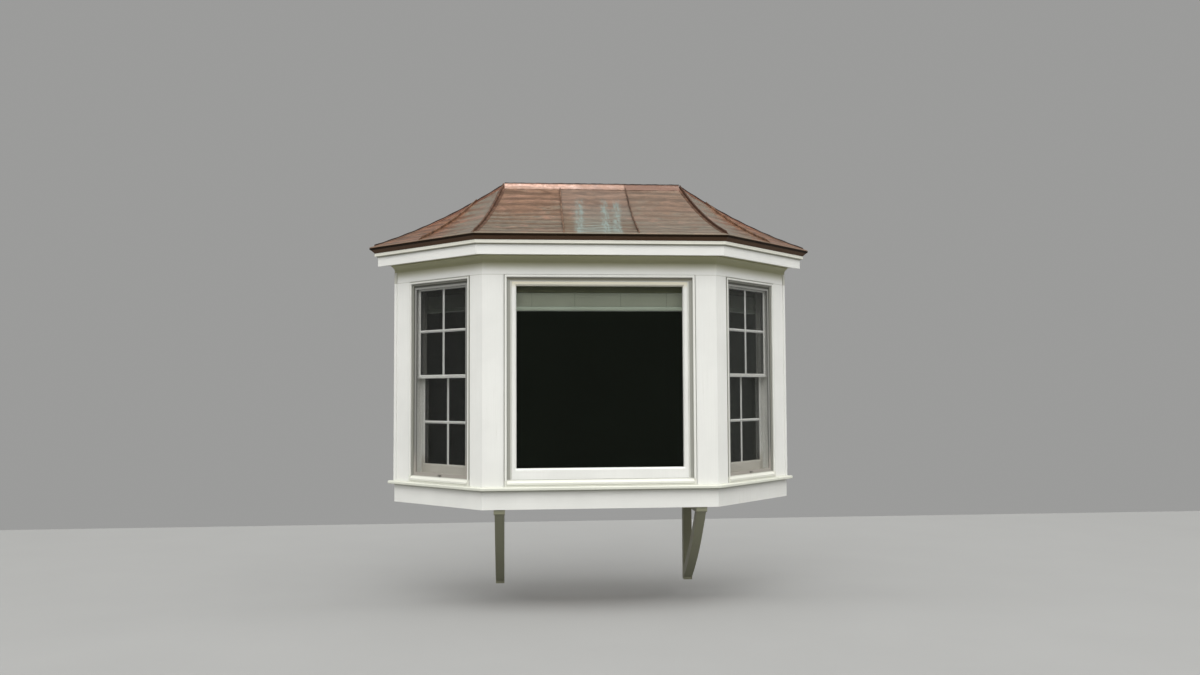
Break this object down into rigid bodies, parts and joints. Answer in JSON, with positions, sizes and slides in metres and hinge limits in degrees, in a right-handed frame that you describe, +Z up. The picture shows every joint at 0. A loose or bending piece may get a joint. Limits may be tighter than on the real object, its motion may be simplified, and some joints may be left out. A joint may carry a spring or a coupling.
{
  "type": "bay window",
  "caption": "White wooden bay window with angled sides, a fixed picture window, double-hung side windows, a bracketed base and a curved copper hip roof.",
  "frame": {"origin": "middle of the wall ledger's flat back, on the house wall plane", "axes": "+Z up, +X along the wall to the right as seen from outside, +Y into the house; the bay stands out towards -Y"},
  "size_m": [3.1032, 0.7428, 2.7783],
  "materials": {
    "trim_paint": "satin",
    "wood": "matte",
    "room_paint": "satin",
    "sash_paint": "satin",
    "copper": "satin",
    "flashing_metal": "matte",
    "glass": "gloss",
    "screen_metal": "satin",
    "blind": "satin",
    "bracket_paint": "satin"
  },
  "bodies": {
    "root": {"skirt_left": "trim_paint", "skirt_front": "trim_paint", "skirt_right": "trim_paint", "sill_nosing": "trim_paint", "corner_boards_left": "trim_paint", "corner_boards_right": "trim_paint", "wall_board_left": "trim_paint", "wall_board_right": "trim_paint", "wall_strips": "trim_paint", "frieze": "trim_paint", "bed_mould": "trim_paint", "soffit": "trim_paint", "fascia": "trim_paint", "shingle_mould": "trim_paint", "wall_ledger": "wood", "platform_frame": "wood", "platform_bottom": "wood", "head_frame": "wood", "roof_deck": "wood", "roof_rafters": "wood", "roof_ledger": "wood", "seat_board": "room_paint", "head_board": "room_paint", "front_post_left": "room_paint", "front_post_right": "room_paint", "wall_stud_left": "room_paint", "wall_stud_right": "room_paint", "picture_frame": "sash_paint", "picture_sash": "sash_paint", "left_window_frame": "sash_paint", "left_upper_sash": "sash_paint", "left_lower_sash": "sash_paint", "right_window_frame": "sash_paint", "right_upper_sash": "sash_paint", "right_lower_sash": "sash_paint", "drip_edge": "copper", "roof_pan_front": "copper", "roof_pan_left": "copper", "roof_pan_right": "copper", "hip_seams": "copper", "roof_flashing": "flashing_metal", "picture_glass": "glass", "left_glass": "glass", "right_glass": "glass", "left_screen": "screen_metal", "right_screen": "screen_metal", "left_screen_lift": "screen_metal", "right_screen_lift": "screen_metal", "picture_blind": "blind", "left_blind": "blind", "right_blind": "blind", "bracket_left": "bracket_paint", "bracket_right": "bracket_paint"}
  },
  "joints": []
}
